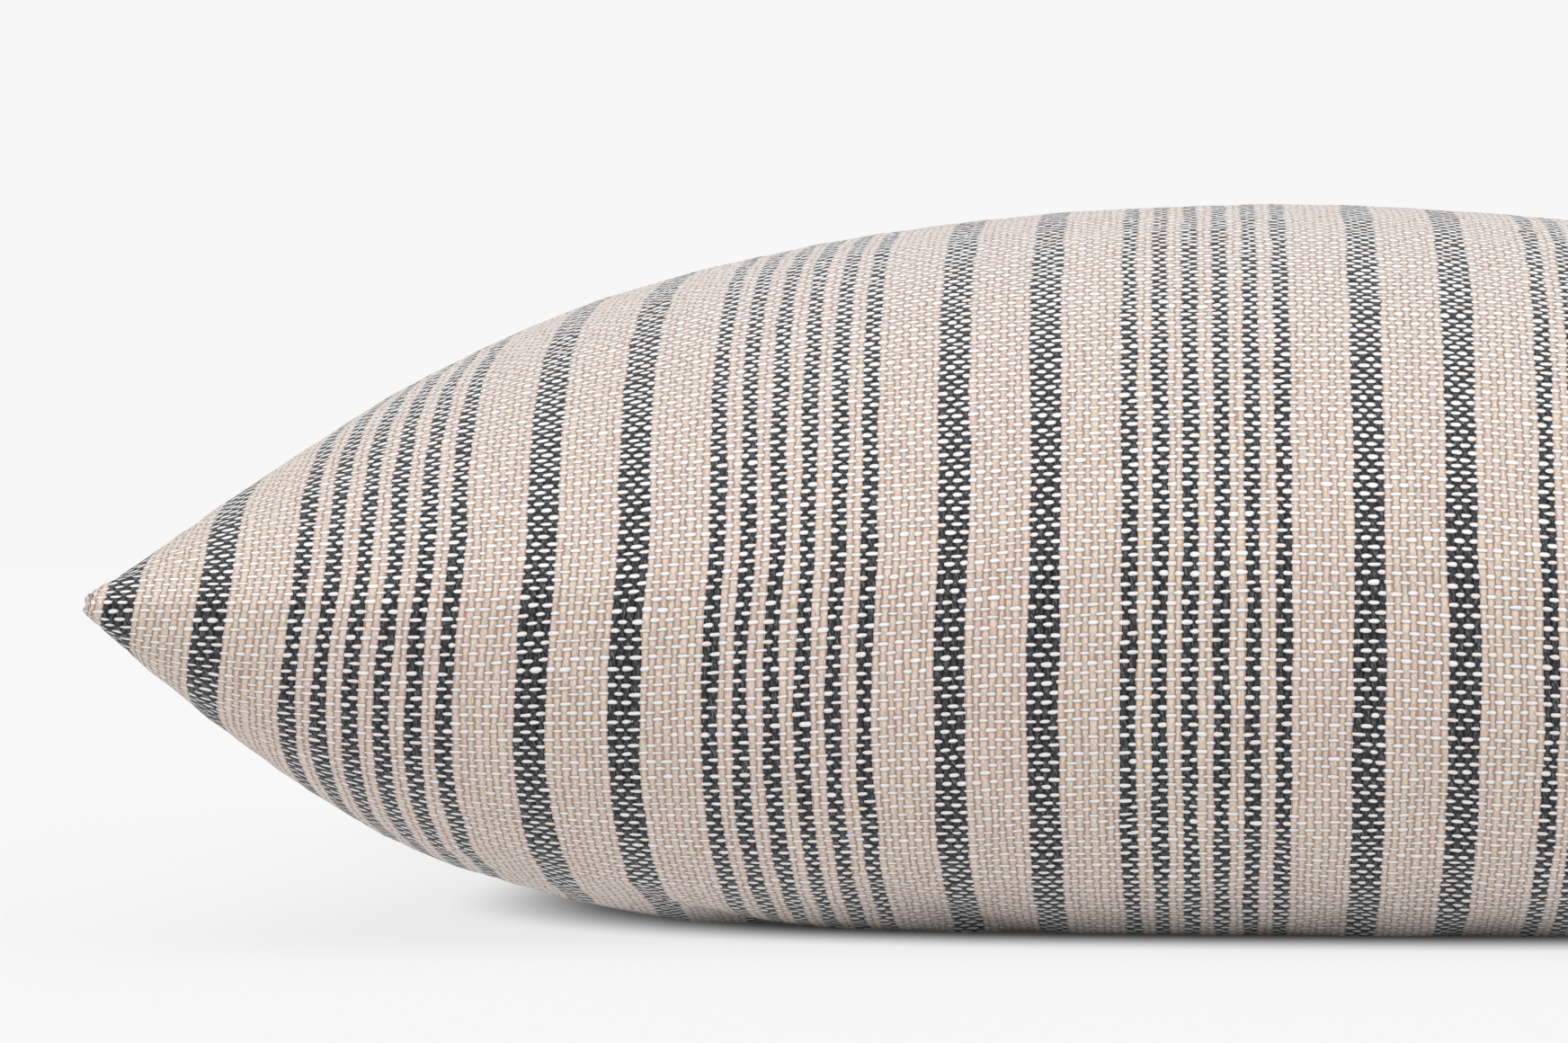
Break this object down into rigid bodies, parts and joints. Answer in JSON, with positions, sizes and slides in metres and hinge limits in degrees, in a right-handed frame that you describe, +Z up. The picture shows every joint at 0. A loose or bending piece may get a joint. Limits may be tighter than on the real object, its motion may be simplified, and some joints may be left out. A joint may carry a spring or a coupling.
{
  "type": "throw pillow",
  "caption": "Square striped throw pillow: folded and seamed cloth cover with a zip at the back edge, over a separate stuffed insert.",
  "frame": {"origin": "middle of the flat patch on which the pillow lies, at floor height", "axes": "+Z up through the crown, X along the front fold and the zip, -Y towards the front fold, stripes along Y"},
  "size_m": [0.526, 0.526, 0.1793],
  "materials": {
    "striped_cloth": "plain weave of thick mixed yarns, tan with black stripes, matt",
    "thread": "twisted polyester sewing thread, matt",
    "overlock_thread": "loose textured thread, matt",
    "zip_tape": "herringbone woven tape, matt",
    "zip_coil": "moulded polyester coil, slightly glossy",
    "zip_metal": "nickel plated, satin",
    "label_satin": "blank woven satin",
    "insert_cotton": "fine plain cotton, matt",
    "insert_thread": "cotton thread, matt",
    "polyester_fill": "lofted polyester fibre"
  },
  "bodies": {
    "root": {"cover_cloth": "striped_cloth", "seam_stitches_left": "thread", "seam_stitches_right": "thread", "overlock_left": "overlock_thread", "overlock_right": "overlock_thread", "back_seam_stitches_left": "thread", "back_seam_stitches_right": "thread", "zip_tape_upper": "zip_tape", "zip_tape_lower": "zip_tape", "zip_coil_upper": "zip_coil", "zip_coil_lower": "zip_coil", "zip_stitches_upper": "thread", "zip_stitches_lower": "thread", "zip_top_stops": "zip_metal", "zip_bottom_stop": "zip_metal", "care_label": "label_satin", "insert_shell_upper": "insert_cotton", "insert_shell_lower": "insert_cotton", "insert_seam_stitches": "insert_thread", "insert_closing_stitches": "insert_thread", "insert_label": "label_satin", "insert_fill": "polyester_fill"},
    "slider": {"zip_slider": "zip_metal"},
    "pull": {"zip_pull": "zip_metal"}
  },
  "joints": [
    {"name": "zip_slide", "type": "slide", "parent": "root", "child": "slider", "axis": [-1, 0, 0], "range_m": [0, 0.38]},
    {"name": "pull_swing", "type": "hinge", "parent": "slider", "child": "pull", "pos_m": [0.2, 0.2458, 0.0876], "axis": [0, 0, -1], "range_deg": [0, 150]}
  ]
}
